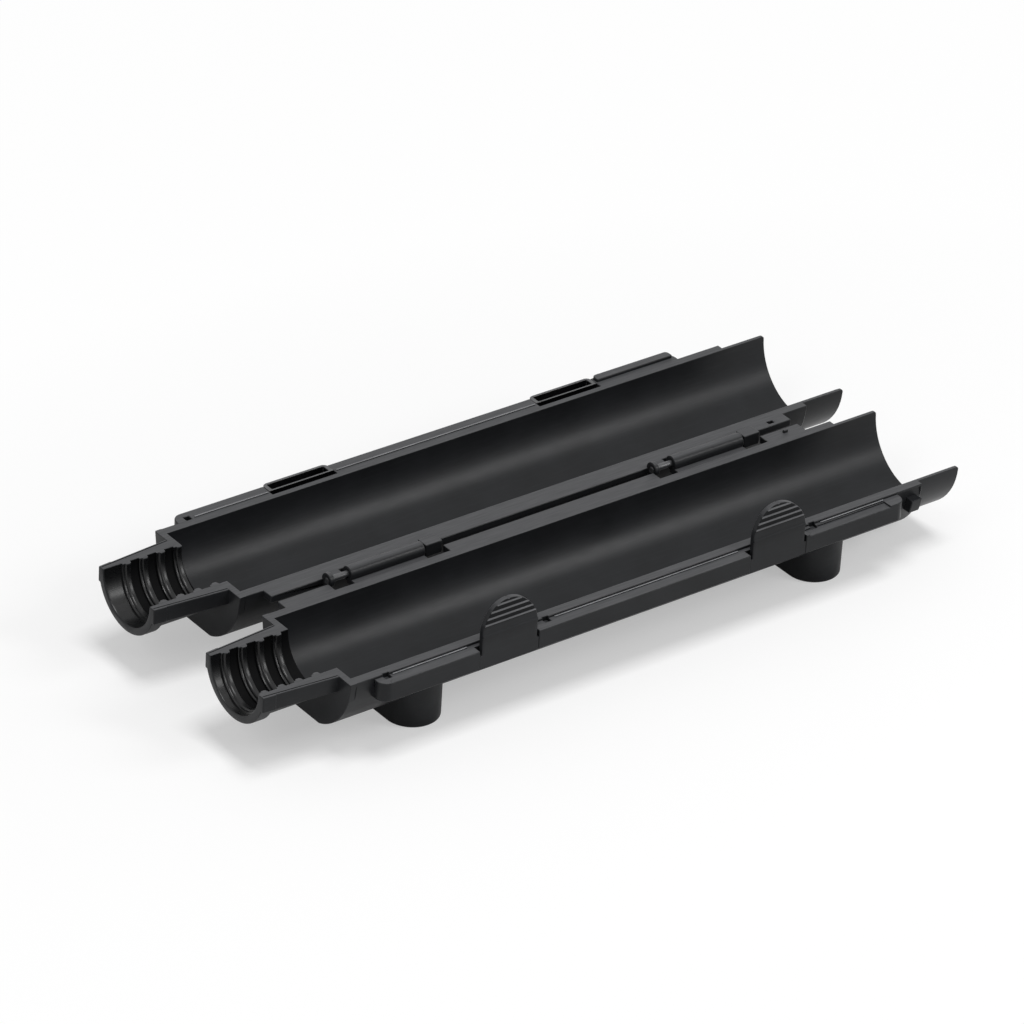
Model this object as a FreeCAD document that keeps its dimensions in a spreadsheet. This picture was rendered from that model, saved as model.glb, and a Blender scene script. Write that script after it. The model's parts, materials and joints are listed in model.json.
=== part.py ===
"""Rice mould: two half-round troughs on one hinge line, closed by two spring tabs.

Everything is modelled about the hinge line: x runs from the neck mouth to the open end, y from the
hinge line towards the back half, and z upwards from the rims. Each finished piece is then placed so
that the origin is the middle of the footprint, on the surface that the feet stand on.
"""
import FreeCAD, Part
import math
import os
import re

# The driving sizes: value in millimetres, and what it measures.
SIZES = {
    # the two troughs
    "mould_length": (275, "whole length, mouth of the neck to the open end"),
    "hinge_reach": (6, "hinge line to the jacket of a trough"),
    "barrel_radius": (24, "outside of the jacket"),
    "jacket_wall": (3.4, "wall between the trough and the outside of the jacket"),
    "keel_flat": (1.5, "how much the flat underside takes off the round jacket"),
    "shoulder_wall": (2.4, "thickness of the shoulder plate"),
    "open_end_length": (17.5, "length of the plain tube end past the jacket"),
    "open_end_wall": (1.3, "wall of the plain tube end"),
    "open_end_corner": (1, "rounding of the open end's upper corners"),
    "closed_gap": (0.3, "gap between the rims when the mould is closed"),
    "weld": (0.5, "how far a form runs into the wall that carries it"),
    # rim flanges
    "flange_width": (4.6, "jacket to the outer edge of its flange"),
    "flange_thickness": (2.6, "thickness of the rim flanges"),
    "flange_lead": (6.6, "shoulder plate to the start of the flanges"),
    "front_flange_inset": (28, "open end to the end of the front flange"),
    "back_flange_inset": (35, "open end to the end of the back flange"),
    "flange_corner": (3.6, "rounding of the flange corners, seen from above"),
    "skirt_depth": (7.5, "depth of the wall that hangs from the edge of an outer flange"),
    "skirt_wall": (1.9, "thickness of that wall"),
    "skirt_rib": (1.6, "thickness of the rib behind the middle of that wall"),
    "hinge_slit": (3.4, "slit between the two flanges at the hinge line"),
    "ledge_depth": (0.8, "depth of the ledge on the front rim"),
    "bead_inset": (0.45, "jacket to the middle of its rim bead"),
    "bead_width": (0.6, "width of the rim beads"),
    "bead_height": (0.35, "height of the rim beads"),
    "socket_size": (2.2, "side of the square sockets in the rims"),
    "socket_depth": (1.8, "depth of the square sockets in the rims"),
    # necks
    "neck_length": (27, "mouth of the neck to the shoulder plate"),
    "neck_bore": (13.1, "root of the thread"),
    "neck_wall": (1.6, "wall outside the root of the thread"),
    "collar_rise": (1, "collar at the mouth above the neck behind it"),
    "collar_length": (4.5, "length of the collar at the mouth"),
    "thread_depth": (1.4, "root of the thread to its crest"),
    "crest_width": (3, "width of one thread crest"),
    "thread_pitch": (6.5, "pitch of the thread"),
    "thread_start": (5.3, "first crest, on the hinge side"),
    "fin_depth": (5.5, "depth of the straight side wall beside the neck"),
    "fin_flare": (2.6, "how far a side wall spreads from the collar to the shoulder"),
    # feet
    "foot_height": (6, "lowest line of the round jacket to the surface that the feet stand on"),
    "foot_radius": (9.5, "rounded ends of a foot"),
    "foot_spread": (18, "distance between the rounded ends of a foot"),
    "foot_left": (62.4, "mouth to the middle of the feet at the neck end"),
    "foot_inset": (49.4, "open end to the middle of the other feet"),
    # hinges
    "hinge_left": (64, "mouth to the start of the first knuckle"),
    "hinge_inset": (80.5, "open end to the start of the second knuckle"),
    "knuckle_length": (29, "length of a knuckle"),
    "knuckle_radius": (2.6, "outside of a knuckle"),
    "knuckle_play": (0.5, "end play between a knuckle and its brackets"),
    "knuckle_gap": (1.2, "gap between a knuckle and the back flange"),
    "leaf_drop": (1.2, "rim to the top of the leaf that carries a knuckle"),
    "leaf_thickness": (2.2, "thickness of that leaf"),
    "recess_lip": (0.4, "flange left between the hinge recess and the front trough"),
    "pin_radius": (1.1, "hinge pin"),
    "pin_clearance": (0.05, "radial running clearance of the pin in its knuckle"),
    "pin_tip": (0.4, "rounding of the tips of a pin"),
    "lug_gap": (6.4, "knuckle to the thin lug"),
    "lug_width": (1.6, "width of the thin lug"),
    "bracket_width": (6.5, "width of the square bracket"),
    "bracket_wall": (0.9, "wall of the square bracket round the pin"),
    "pin_stop": (1, "wall left in the square bracket behind the pin"),
    # spring tabs
    "latch_left": (85, "mouth to the middle of the first tab"),
    "latch_inset": (81.7, "open end to the middle of the second tab"),
    "tab_width": (21.6, "width of a tab"),
    "tab_thickness": (1.8, "thickness of a tab"),
    "tab_set": (0.2, "tab face behind the edge of the flange"),
    "tab_shoulder": (3.4, "height at which the rounded top of a tab starts"),
    "root_radius": (1.3, "rounded root of a tab"),
    "root_clearance": (0.1, "root of a tab to its groove"),
    "tab_slit": (0.8, "slit on each side of a tab"),
    "flex_room": (1.1, "room behind a tab to bend into"),
    "seat_depth": (14, "foot of the sloped seat under a tab"),
    "rib_start": (7.6, "first grip rib above the rim"),
    "rib_pitch": (1.85, "spacing of the grip ribs"),
    "rib_width": (0.5, "width of a grip rib"),
    "rib_height": (0.3, "height of a grip rib"),
    "hook_height": (0.7, "hook above the outer face of a tab"),
    "hook_bottom": (3.3, "underside of the hook above the rim"),
    "hook_rise": (1.5, "height of the hook"),
    # catches
    "slot_clearance": (0.4, "tab to the slot of its catch"),
    "catch_bar": (0.9, "outer bar of a catch"),
    "catch_wall": (0.6, "inner wall of a catch"),
    "catch_cheek": (1.6, "end walls of a catch"),
    "catch_corner": (2, "rounding of the outer corners of a catch"),
    "catch_drop": (2.8, "underside of a catch below the rim"),
    "catch_rise": (0.1, "top of a catch above the rim"),
    "groove_width": (2, "groove in the rim beside a catch"),
    # rail, peg, panel and lug at the open end
    "rail_gap": (0.6, "catch to the raised rail on the back rim"),
    "rail_width": (3.2, "width of the rail"),
    "rail_height": (1.1, "height of the rail"),
    "rail_corner": (1.4, "rounding of the ends of the rail, seen from above"),
    "rail_room": (0.3, "room round the rail in the front rim"),
    "peg_inset": (35, "open end to the middle of the locating peg"),
    "peg_length": (1.8, "length of the locating peg"),
    "peg_width": (1, "width of the locating peg"),
    "peg_reach": (3.9, "hinge line to the middle of the peg"),
    "peg_height": (1, "height of the peg"),
    "peg_room": (0.25, "room round the peg in its socket"),
    "panel_depth": (0.5, "depth of the sunken panel on the side of the front jacket"),
    "panel_top": (0.9, "rim to the top of that panel"),
    "panel_height": (3.3, "height of that panel"),
    "panel_margin": (0.6, "end of the jacket to that panel"),
    "nose_inset": (21.6, "open end to the middle of the lug on the side of the front jacket"),
    "nose_length": (4.2, "length of that lug"),
    "nose_reach": (3, "jacket to the face of that lug"),
    "nose_top": (3.6, "rim to the top of that lug"),
    "nose_height": (5, "height of that lug"),
}

# Measures that follow from the driving sizes, for the formulas that several pieces share.
DERIVED = {
    "axis_offset": "hinge_reach + barrel_radius",
    "axis_height": "closed_gap/2",
    "bore_radius": "barrel_radius - jacket_wall",
    "keel_depth": "barrel_radius - keel_flat",
    "floor_depth": "barrel_radius + foot_height",
    "plate_end": "neck_length + shoulder_wall",
    "jacket_end": "mould_length - open_end_length",
    "flange_start": "plate_end + flange_lead",
    "front_flange_end": "mould_length - front_flange_inset",
    "back_flange_end": "mould_length - back_flange_inset",
    "jacket_edge": "axis_offset + barrel_radius",
    "flange_edge": "jacket_edge + flange_width",
    "bead_line": "jacket_edge + bead_inset",
    "neck_radius": "neck_bore + neck_wall",
    "mouth_radius": "neck_radius + collar_rise",
    "crest_radius": "neck_bore - thread_depth",
    "foot_right": "mould_length - foot_inset",
    "hinge_right": "mould_length - hinge_inset",
    "latch_right": "mould_length - latch_inset",
    "latch_middle": "(latch_left + latch_right)/2",
    "tab_root": "skirt_depth",
    "tab_outer": "flange_edge - tab_set",
    "tab_inner": "tab_outer - tab_thickness",
    "tab_room": "tab_inner - flex_room",
    "root_line": "tab_outer - root_radius",
    "slot_outer": "tab_outer + slot_clearance",
    "slot_length": "tab_width + 2*slot_clearance",
    "catch_length": "slot_length + 2*catch_cheek",
    "catch_inner": "tab_room - catch_wall",
    "catch_outer": "slot_outer + catch_bar",
    "rail_start": "latch_right + catch_length/2 + rail_gap",
    "rail_end": "back_flange_end - rail_corner",
    "rail_inner": "flange_edge - rail_width",
    "clear": "2*barrel_radius",
}

FRONT = "-"
BACK = ""
SQUARE_ROOT = "sqrt"
HINGES = {"left": "hinge_left", "right": "hinge_right"}
LATCHES = {"left": "latch_left", "right": "latch_right"}
FEET = {"left": "foot_left", "right": "foot_right"}
FLANGE_END = {FRONT: "front_flange_end", BACK: "back_flange_end"}
GRIP_RIBS = 4

X, Y, Z = FreeCAD.Vector(1, 0, 0), FreeCAD.Vector(0, 1, 0), FreeCAD.Vector(0, 0, 1)
ALONG_X = FreeCAD.Rotation(-Y, -Z, X, "ZXY")
ALONG_Y = FreeCAD.Rotation(X, Z, -Y, "ZXY")
HANGING = FreeCAD.Rotation(X, -Z, Y, "ZXY")
LYING = FreeCAD.Rotation(-Y, X, Z, "ZXY")
STRAIGHT = 0.01

doc = FreeCAD.newDocument("rice_mould")
sheet = doc.addObject("Spreadsheet::Sheet", "Sizes")
finished = []


def fill_sheet():
    """Writes each driving size into its own named cell."""
    for row, (alias, (value, meaning)) in enumerate(SIZES.items(), start=1):
        sheet.set(f"A{row}", meaning)
        sheet.set(f"B{row}", str(value))
        sheet.setAlias(f"B{row}", alias)
    doc.recompute()


def size(alias):
    """The value of one cell, for the few settings that take no formula."""
    return float(sheet.get(alias))


def bound(text):
    """A formula in plain size names, written out in cells of the sheet."""
    def in_cells(word):
        name = word[0]
        if name in DERIVED:
            return f"({bound(DERIVED[name])})"
        return name if name == SQUARE_ROOT else "Sizes." + name
    return re.sub(r"[a-z_]{3,}", in_cells, text)


def add(kind, name, place, turn=None, **sizes):
    """A Part primitive with its sizes and its place bound to the sheet."""
    item = doc.addObject("Part::" + kind, name)
    if turn:
        item.Placement = FreeCAD.Placement(FreeCAD.Vector(), turn)
    for prop, text in sizes.items():
        item.setExpression(prop, bound(text))
    for axis, text in zip("xyz", place):
        item.setExpression(".Placement.Base." + axis, bound(text))
    return item


def box(name, x, y, z):
    """A block between a low and a high formula on each axis."""
    lengths = [f"({high}) - ({low})" for low, high in (x, y, z)]
    return add("Box", name, (x[0], y[0], z[0]), Length=lengths[0], Width=lengths[1], Height=lengths[2])


def rod(name, x, y, z, radius):
    """A round bar along x."""
    return add("Cylinder", name, (x[0], y, z), ALONG_X, Radius=radius, Height=f"({x[1]}) - ({x[0]})")


def half_rod(name, x, y, radius):
    """The lower half of a round bar along x, cut off at the rim."""
    item = rod(name, x, y, "0", radius)
    item.Angle = 180
    return item


def hanging_wedge(name, x, y_top, y_foot, top, drop):
    """A block under the height `top` whose width changes from y_top to y_foot as it goes down."""
    return add("Wedge", name, ("0", "0", top), HANGING, Xmin=x[0], Xmax=x[1], X2min=x[0], X2max=x[1],
               Ymin="0", Ymax=drop, Zmin=y_top[0], Zmax=y_top[1], Z2min=y_foot[0], Z2max=y_foot[1])


def across(side, inner, outer):
    """The y range between two distances from the hinge line, on one half."""
    return (f"-({outer})", f"-({inner})") if side == FRONT else (inner, outer)


def about(middle, width):
    """The range of one width about a middle."""
    return (f"{middle} - ({width})/2", f"{middle} + ({width})/2")


def jacket_at(depth):
    """Where the outer jacket wall stands at a depth below the rim, less one weld."""
    return f"axis_offset + sqrt(barrel_radius^2 - {depth}^2) - weld"


def join(name, pieces):
    """One solid from several forms that run into each other."""
    item = doc.addObject("Part::MultiFuse", name)
    item.Shapes = pieces
    item.Refine = True
    return item


def shared(name, pieces):
    """What several forms have in common."""
    item = doc.addObject("Part::MultiCommon", name)
    item.Shapes = pieces
    return item


def cut(name, base, tools):
    """A form with other forms taken out of it."""
    item = doc.addObject("Part::Cut", name)
    item.Base = base
    item.Tool = tools[0] if len(tools) == 1 else join(name + "_tools", tools)
    item.Refine = True
    return item


def round_edges(name, base, alias, chosen):
    """The edges of a form that `chosen` picks, rounded by one size."""
    doc.recompute()
    radius = size(alias)
    item = doc.addObject("Part::Fillet", name)
    item.Base = base
    item.Edges = [(number, radius, radius) for number, edge in enumerate(base.Shape.Edges, start=1)
                  if chosen(edge, base.Shape.BoundBox.Center)]
    return item


def runs_along(edge, axis):
    """Whether an edge is parallel to an axis."""
    return edge.tangentAt(edge.FirstParameter).cross(axis).Length < STRAIGHT


def outer_upright(edge, middle):
    """The upright corner edges on the side away from the hinge line."""
    return runs_along(edge, Z) and abs(edge.CenterOfMass.y) > abs(middle.y)


def finish(node, item):
    """Names a finished piece and moves it from the hinge line to the middle of the footprint."""
    item.Label = node
    item.setExpression(".Placement.Base.x", bound("-mould_length/2"))
    item.setExpression(".Placement.Base.y", bound("(hook_height - slot_clearance - catch_bar)/2"))
    item.setExpression(".Placement.Base.z", bound("floor_depth"))
    finished.append(item)


def trough_axis(side):
    """The y of one trough's axis."""
    return side + "(axis_offset)"


def jacket(side):
    """The solid half-round jacket of one half, with its flat keel, and nothing hollowed out."""
    body = half_rod("jacket", ("plate_end", "jacket_end"), trough_axis(side), "barrel_radius")
    keel = box("under_keel", ("0", "mould_length"), across(side, "0", "axis_offset + clear"),
               ("-clear", "-(keel_depth)"))
    return cut("flat_jacket", body, [keel])


def outer_flange(side):
    """The flange on the latch side: a plate with a wall hanging from its edge, open below between solid
    lengths at the tabs and catches."""
    start, end = "flange_start", FLANGE_END[side]
    block = box("outer_block", (start, end), across(side, "axis_offset + bore_radius", "flange_edge"),
                ("-skirt_depth", "0"))
    block = round_edges("outer_flange", block, "flange_corner", outer_upright)
    solid = "(catch_length/2 + flange_corner)"
    lengths = [(f"{start} + flange_corner", f"latch_left - {solid}"),
               (f"latch_left + {solid}", "latch_middle - skirt_rib/2"),
               ("latch_middle + skirt_rib/2", f"latch_right - {solid}"),
               (f"latch_right + {solid}", f"{end} - flange_corner")]
    pockets = [box("flange_pocket", x, across(side, "axis_offset", "flange_edge - skirt_wall"),
                   ("-skirt_depth - weld", "-flange_thickness")) for x in lengths]
    return cut("hollow_flange", block, pockets)


def hinge_flange(side):
    """The narrow flange along the hinge line."""
    return box("hinge_flange", ("flange_start", "front_flange_end"),
               across(side, "hinge_slit/2", "axis_offset - bore_radius"), ("-flange_thickness", "0"))


def bore(side):
    """The hollow of one trough."""
    return rod("bore", ("plate_end", "mould_length + weld"), trough_axis(side), "0", "bore_radius")


def open_end(side):
    """The plain tube end past the jacket, with its two upper corners rounded."""
    x = ("jacket_end - weld", "mould_length")
    tube = half_rod("open_tube", x, trough_axis(side), "bore_radius + open_end_wall")
    room = box("open_room", x, across(side, "0", "axis_offset + clear"), ("-clear", "0"))

    def upper_corner(edge, middle):
        centre = edge.CenterOfMass
        return runs_along(edge, Y) and centre.x > middle.x and centre.z > middle.z

    return shared("open_end", [tube, round_edges("open_corners", room, "open_end_corner", upper_corner)])


def rim_bead(side, x, base):
    """One thin bead along the outer rim, standing on a face at the height `base`."""
    return box("rim_bead", x, across(side, *about("bead_line", "bead_width")),
               (f"{base} - weld", f"{base} + bead_height"))


def rim_socket(side, middle, reach):
    """One square socket sunk into the rim."""
    return box("rim_socket", about(middle, "socket_size"), across(side, *about(reach, "socket_size")),
               ("-socket_depth", "weld"))


def front_hinge(start):
    """A knuckle on its low leaf, the recess round it in the front flange, and its bore."""
    end = f"{start} + knuckle_length"
    knuckle = rod("knuckle", (start, end), "0", "axis_height", "knuckle_radius")
    leaf = box("knuckle_leaf", (start, end), ("-(hinge_reach + weld)", "0"),
               ("-leaf_drop - leaf_thickness", "-leaf_drop"))
    room = (f"{start} - lug_gap - lug_width - knuckle_play", f"{end} + bracket_width + 2*knuckle_play")
    recess = box("hinge_recess", room, ("-(hinge_reach - recess_lip)", "weld"),
                 ("-flange_thickness - weld", "weld"))
    hole = rod("knuckle_bore", (f"{start} - weld", f"{end} + weld"), "0", "axis_height",
               "pin_radius + pin_clearance")
    return [knuckle, leaf], recess, hole


def back_hinge(start):
    """The thin lug and the square bracket that hold a pin, and the room for the knuckle between them."""
    end = f"{start} + knuckle_length"
    lug = (f"{start} - lug_gap - lug_width", f"{start} - lug_gap")
    block = (f"{end} + knuckle_play", f"{end} + knuckle_play + bracket_width")
    reach = ("0", "hinge_reach + weld")
    low = "axis_height - knuckle_radius"
    high = "axis_height + pin_radius + bracket_wall"
    forms = [rod("lug_eye", lug, "0", "axis_height", "knuckle_radius"),
             box("lug_leaf", lug, reach, (low, "0")),
             box("bracket", block, ("-(pin_radius + bracket_wall)", "knuckle_radius"), (low, high)),
             box("bracket_leaf", block, reach, (low, "0"))]
    room = box("knuckle_room", (f"{start} - knuckle_play", block[0]),
               ("-weld", "knuckle_radius + knuckle_gap"), ("-flange_thickness - weld", "weld"))
    return forms, room, rod("pin_hole", pin_span(start), "0", "axis_height", "pin_radius")


def pin_span(start):
    """From the outer face of the lug to near the end of the square bracket."""
    end = f"{start} + knuckle_length + knuckle_play + bracket_width"
    return (f"{start} - lug_gap - lug_width", f"{end} - pin_stop")


def tab_notch(middle):
    """The notch that a tab takes out of the front rim."""
    return box("tab_notch", about(middle, "tab_width + 2*tab_slit"),
               across(FRONT, "tab_room", "flange_edge + weld"), ("-tab_root", "weld"))


def tab_seat(middle):
    """The sloped seat that carries the root of a tab, and the groove in its top."""
    inner = "axis_offset + bore_radius/2"
    seat = hanging_wedge("tab_seat", about(middle, "tab_width"), across(FRONT, inner, "root_line"),
                         across(FRONT, inner, jacket_at("seat_depth")), "-tab_root", "seat_depth - tab_root")
    groove = rod("root_groove", about(middle, "tab_width + 2*tab_slit"), "-(root_line)", "-tab_root",
                 "root_radius + root_clearance")
    return seat, groove


def catch_seat(middle):
    """What a catch with its groove, and the tab that passes down through it, take out of the back rim."""
    pocket = box("catch_pocket", about(middle, "catch_length"),
                 across(BACK, "catch_inner - groove_width", "catch_outer + weld"), ("-catch_drop", "weld"))
    passage = box("tab_passage", about(middle, "slot_length"),
                  across(BACK, "tab_room - slot_clearance", "catch_outer + weld"),
                  ("-skirt_depth - weld", "-catch_drop + weld"))
    return [pocket, passage]


def side_panel():
    """The sunken panel on the side of the front jacket, between the flange and the open end."""
    return box("side_panel", ("front_flange_end", "jacket_end - panel_margin"),
               across(FRONT, "jacket_edge - panel_depth", "jacket_edge + weld"),
               ("-panel_top - panel_height", "-panel_top"))


def side_nose():
    """The small lug on the side of the front jacket, near the open end."""
    x = about("mould_length - nose_inset", "nose_length")
    reach = "barrel_radius + nose_reach"
    block = box("nose_block", x, across(FRONT, "axis_offset + bore_radius", f"axis_offset + {reach}"),
                ("-nose_top - nose_height", "-nose_top"))
    return shared("side_nose", [block, rod("nose_skin", x, trough_axis(FRONT), "0", reach)])


def peg(side, room, name):
    """The locating peg beside the hinge line, or with room round it its socket in the other half."""
    height = ("-weld", "peg_height") if side == FRONT else ("-peg_height - peg_room", "weld")
    return box(name, about("mould_length - peg_inset", f"peg_length + 2*{room}"),
               across(side, *about("peg_reach", f"peg_width + 2*{room}")), height)


def make_front_barrel():
    """The front half: trough, flanges with the sunken ledge, knuckles, and seats for the tabs."""
    ledge = box("ledge", ("flange_start", "front_flange_end"),
                across(FRONT, "jacket_edge", "flange_edge + weld"), ("-ledge_depth", "weld"))
    rail_bed = box("rail_bed", ("rail_start - rail_room", "back_flange_end + rail_room"),
                   across(FRONT, "rail_inner - rail_room", "flange_edge + weld"),
                   ("-rail_height - closed_gap", "weld"))
    hollows = [ledge, rail_bed, side_panel()]
    hollows.append(rim_socket(FRONT, "flange_start + 2*socket_size", "bead_line"))
    hollows += [rim_socket(FRONT, f"{middle} + catch_length/2 + 2*socket_size", "bead_line")
                for middle in LATCHES.values()]
    added, last = [], []
    for start in HINGES.values():
        forms, recess, hole = front_hinge(start)
        added += forms
        hollows.append(recess)
        last.append(hole)
    for middle in LATCHES.values():
        hollows.append(tab_notch(middle))
        seat, groove = tab_seat(middle)
        added.append(seat)
        last.append(groove)
    shell = join("front_shell", [jacket(FRONT), hinge_flange(FRONT), outer_flange(FRONT)])
    shell = cut("front_notched", shell, hollows)
    gap = "(tab_width/2 + tab_slit + socket_size)"
    beads = [rim_bead(FRONT, x, "-ledge_depth") for x in
             (("flange_start + 3*socket_size", f"latch_left - {gap}"),
              (f"latch_left + {gap} + 3*socket_size", f"latch_right - {gap}"),
              (f"latch_right + {gap} + 3*socket_size", "front_flange_end - 3*socket_size"))]
    forms = [shell, open_end(FRONT), peg(FRONT, "0", "peg"), side_nose(), *beads, *added]
    shell = join("front_forms", forms)
    finish("front_barrel", cut("front_barrel", shell, [bore(FRONT), *last]))


def make_back_barrel():
    """The back half: trough, flanges with beads and rail, brackets, and seats for the catches."""
    added, hollows, last = [], [peg(BACK, "peg_room", "peg_socket")], []
    for start in HINGES.values():
        forms, room, hole = back_hinge(start)
        added += forms
        hollows.append(room)
        last.append(hole)
    for middle in LATCHES.values():
        hollows += catch_seat(middle)
    hollows.append(rim_socket(BACK, "flange_start + 2*socket_size", "bead_line + bead_width"))
    shell = join("back_shell", [jacket(BACK), hinge_flange(BACK), outer_flange(BACK)])
    shell = cut("back_notched", shell, hollows)
    gap = "(catch_length/2 + bead_width)"
    beads = [rim_bead(BACK, ("flange_start + 3*socket_size", f"latch_left - {gap}"), "0"),
             rim_bead(BACK, (f"latch_left + {gap}", f"latch_right - {gap}"), "0")]
    rail = box("rail_block", ("rail_start", "rail_end"), across(BACK, "rail_inner", "flange_edge"),
               ("-weld", "rail_height"))
    rail = round_edges("rail", rail, "rail_corner", outer_upright)
    shell = join("back_forms", [shell, open_end(BACK), rail, *beads, *added])
    finish("back_barrel", cut("back_barrel", shell, [bore(BACK), *last]))


def thread_crest(side, number):
    """One crest: a ring tilted so that it climbs half a pitch from rim to rim."""
    tilt = math.degrees(math.atan2(size("thread_pitch")/2, 2*size("neck_bore") - size("thread_depth")))
    turn = FreeCAD.Rotation(Z, -tilt) * ALONG_X
    climb = "- thread_pitch/4" if side == FRONT else "+ thread_pitch/4"
    start = f"thread_start + {number}*thread_pitch {climb} - crest_width/2"
    place = (start, trough_axis(side), "0")
    ring = add("Cylinder", "crest", place, turn, Radius="neck_bore + weld", Height="crest_width")
    hole = add("Cylinder", "crest_hole", place, turn, Radius="crest_radius", Height="crest_width")
    return cut("thread_crest", ring, [hole])


def make_neck(side, node):
    """A half neck: collar, side walls that widen to the shoulder, internal thread, shoulder plate."""
    axis = trough_axis(side)
    collar = half_rod("collar", ("0", "collar_length"), axis, "mouth_radius")
    tube = half_rod("neck_tube", ("0", "plate_end"), axis, "neck_radius")
    spread = "mouth_radius + fin_flare"
    walls = add("Wedge", "side_walls", ("0", axis, "-fin_depth"), LYING, Xmin="-(mouth_radius)",
                Xmax="mouth_radius", X2min=f"-({spread})", X2max=spread, Ymin="0", Ymax="neck_length + weld",
                Zmin="0", Zmax="fin_depth", Z2min="0", Z2max="fin_depth")
    plate = half_rod("shoulder_plate", ("neck_length", "plate_end"), axis, "barrel_radius")
    keel = box("under_plate", ("neck_length - weld", "plate_end + weld"),
               across(side, "0", "axis_offset + clear"), ("-clear", "-(keel_depth)"))
    outside = join("neck_outside", [collar, tube, walls, cut("flat_plate", plate, [keel])])
    hollow = rod("neck_hollow", ("-weld", "plate_end + weld"), axis, "0", "neck_bore")
    wall = cut("neck_walled", outside, [hollow])
    turns = 1 + int((size("neck_length") - size("thread_start"))/size("thread_pitch"))
    crests = join("thread", [thread_crest(side, number) for number in range(turns)])
    room = half_rod("thread_room", ("0", "plate_end"), axis, "neck_bore + weld")
    inside = shared("thread_in_neck", [crests, room])
    finish(node, join(node, [wall, inside]))


def make_foot(side, node, middle):
    """A foot: a post with rounded ends that runs up into the underside of its jacket."""
    low, high = "-(floor_depth)", "-barrel_radius/2"
    block = box("foot_block", about(middle, "2*foot_radius"),
                across(side, *about("axis_offset", "foot_spread")), (low, high))
    ends = [add("Cylinder", "foot_end", (middle, f"{trough_axis(side)} {sign} foot_spread/2", low),
                Radius="foot_radius", Height=f"({high}) - ({low})") for sign in "+-"]
    finish(node, cut(node, join("foot_post", [block, *ends]), [jacket(side)]))


def make_pin(node, start):
    """A hinge pin with rounded tips, held in the brackets of the back half."""
    shank = rod("pin_shank", pin_span(start), "0", "axis_height", "pin_radius")

    def rim_of_tip(edge, middle):
        return isinstance(edge.Curve, Part.Circle)

    finish(node, round_edges(node, shank, "pin_tip", rim_of_tip))


def swing_shell(name, x, inner, outer):
    """A round shell about the hinge line, in which everything lies that swings past a catch."""
    return cut(name, rod("shell_outside", x, "0", "axis_height", outer),
               [rod("shell_inside", x, "0", "axis_height", inner)])


def make_latch(node, middle):
    """A spring tab: a plate bent about the hinge line, with a round top, a root, a hook and grip ribs."""
    x = about(middle, "tab_width")
    depth = across(FRONT, "tab_inner - tab_width/2", "tab_outer + 2*hook_height")
    stem = box("tab_stem", x, depth, ("-tab_root", "tab_shoulder"))
    top = add("Cylinder", "tab_top", (middle, depth[1], "tab_shoulder"), ALONG_Y, Radius="tab_width/2",
              Height=f"({depth[1]}) - ({depth[0]})")
    top.Angle = 180
    outline = join("tab_outline", [stem, top])
    plate = shared("tab_plate", [outline, swing_shell("tab_shell", x, "tab_inner", "tab_outer")])
    root = rod("tab_root_bar", x, "-(root_line)", "-tab_root", "root_radius")
    hook_block = box("hook_block", x, depth, ("hook_bottom", "hook_bottom + hook_rise"))
    hook_shell = swing_shell("hook_shell", x, "tab_outer - weld", "tab_outer + hook_height")
    hook = shared("hook", [hook_block, hook_shell])
    bars = [box("rib_bar", x, depth, about(f"(rib_start + {number}*rib_pitch)", "rib_width"))
            for number in range(GRIP_RIBS)]
    rib_shell = swing_shell("rib_shell", x, "tab_outer - weld", "tab_outer + rib_height")
    ribs = shared("grip_ribs", [join("rib_bars", bars), rib_shell, outline])
    finish(node, join(node, [plate, root, hook, ribs]))


def make_catch(node, middle):
    """A catch: a slotted loop let into the edge of the back flange, with rounded outer corners."""
    loop = box("catch_block", about(middle, "catch_length"), ("catch_inner", "catch_outer"),
               ("-catch_drop", "catch_rise"))
    loop = round_edges("catch_loop", loop, "catch_corner", outer_upright)
    slot = box("catch_slot", about(middle, "slot_length"), ("tab_room", "slot_outer"),
               ("-catch_drop - weld", "catch_rise + weld"))
    finish(node, cut(node, loop, [slot]))


def check(item):
    """Stops the build if an object failed or a finished piece has no sound solid."""
    states = [state for state in item.State if state in ("Invalid", "Error")]
    if states:
        raise RuntimeError(f"{item.Label} is {states}")
    if item in finished and (item.Shape.isNull() or not item.Shape.isValid() or not item.Shape.Solids):
        raise RuntimeError(f"{item.Label} has no valid solid")


def export():
    """Writes one STEP file for each finished piece."""
    os.makedirs("parts", exist_ok=True)
    for item in finished:
        item.Shape.exportStep(f"parts/{item.Label}.step")
        print(item.Label, len(item.Shape.Solids), "solid", round(item.Shape.Volume), "mm3")


fill_sheet()
make_front_barrel()
make_back_barrel()
make_neck(FRONT, "front_neck")
make_neck(BACK, "back_neck")
for end, middle in FEET.items():
    make_foot(FRONT, f"front_foot_{end}", middle)
    make_foot(BACK, f"back_foot_{end}", middle)
for end, start in HINGES.items():
    make_pin(f"hinge_pin_{end}", start)
for end, middle in LATCHES.items():
    make_latch(f"latch_{end}", middle)
    make_catch(f"catch_{end}", middle)
doc.recompute()
for item in doc.Objects:
    check(item)
export()
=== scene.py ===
"""Looks of the rice mould: soft-edged troughs, threaded necks, feet, hinge pins, spring tabs and catches.

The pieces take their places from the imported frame. Lengths are in metres, +X runs from the neck mouths
to the open ends, +Y from the half with the tabs to the half with the catches, and +Z up.
"""

import json
import math

import bmesh
import bpy
import numpy as np
from mathutils import Matrix, Vector

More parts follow.
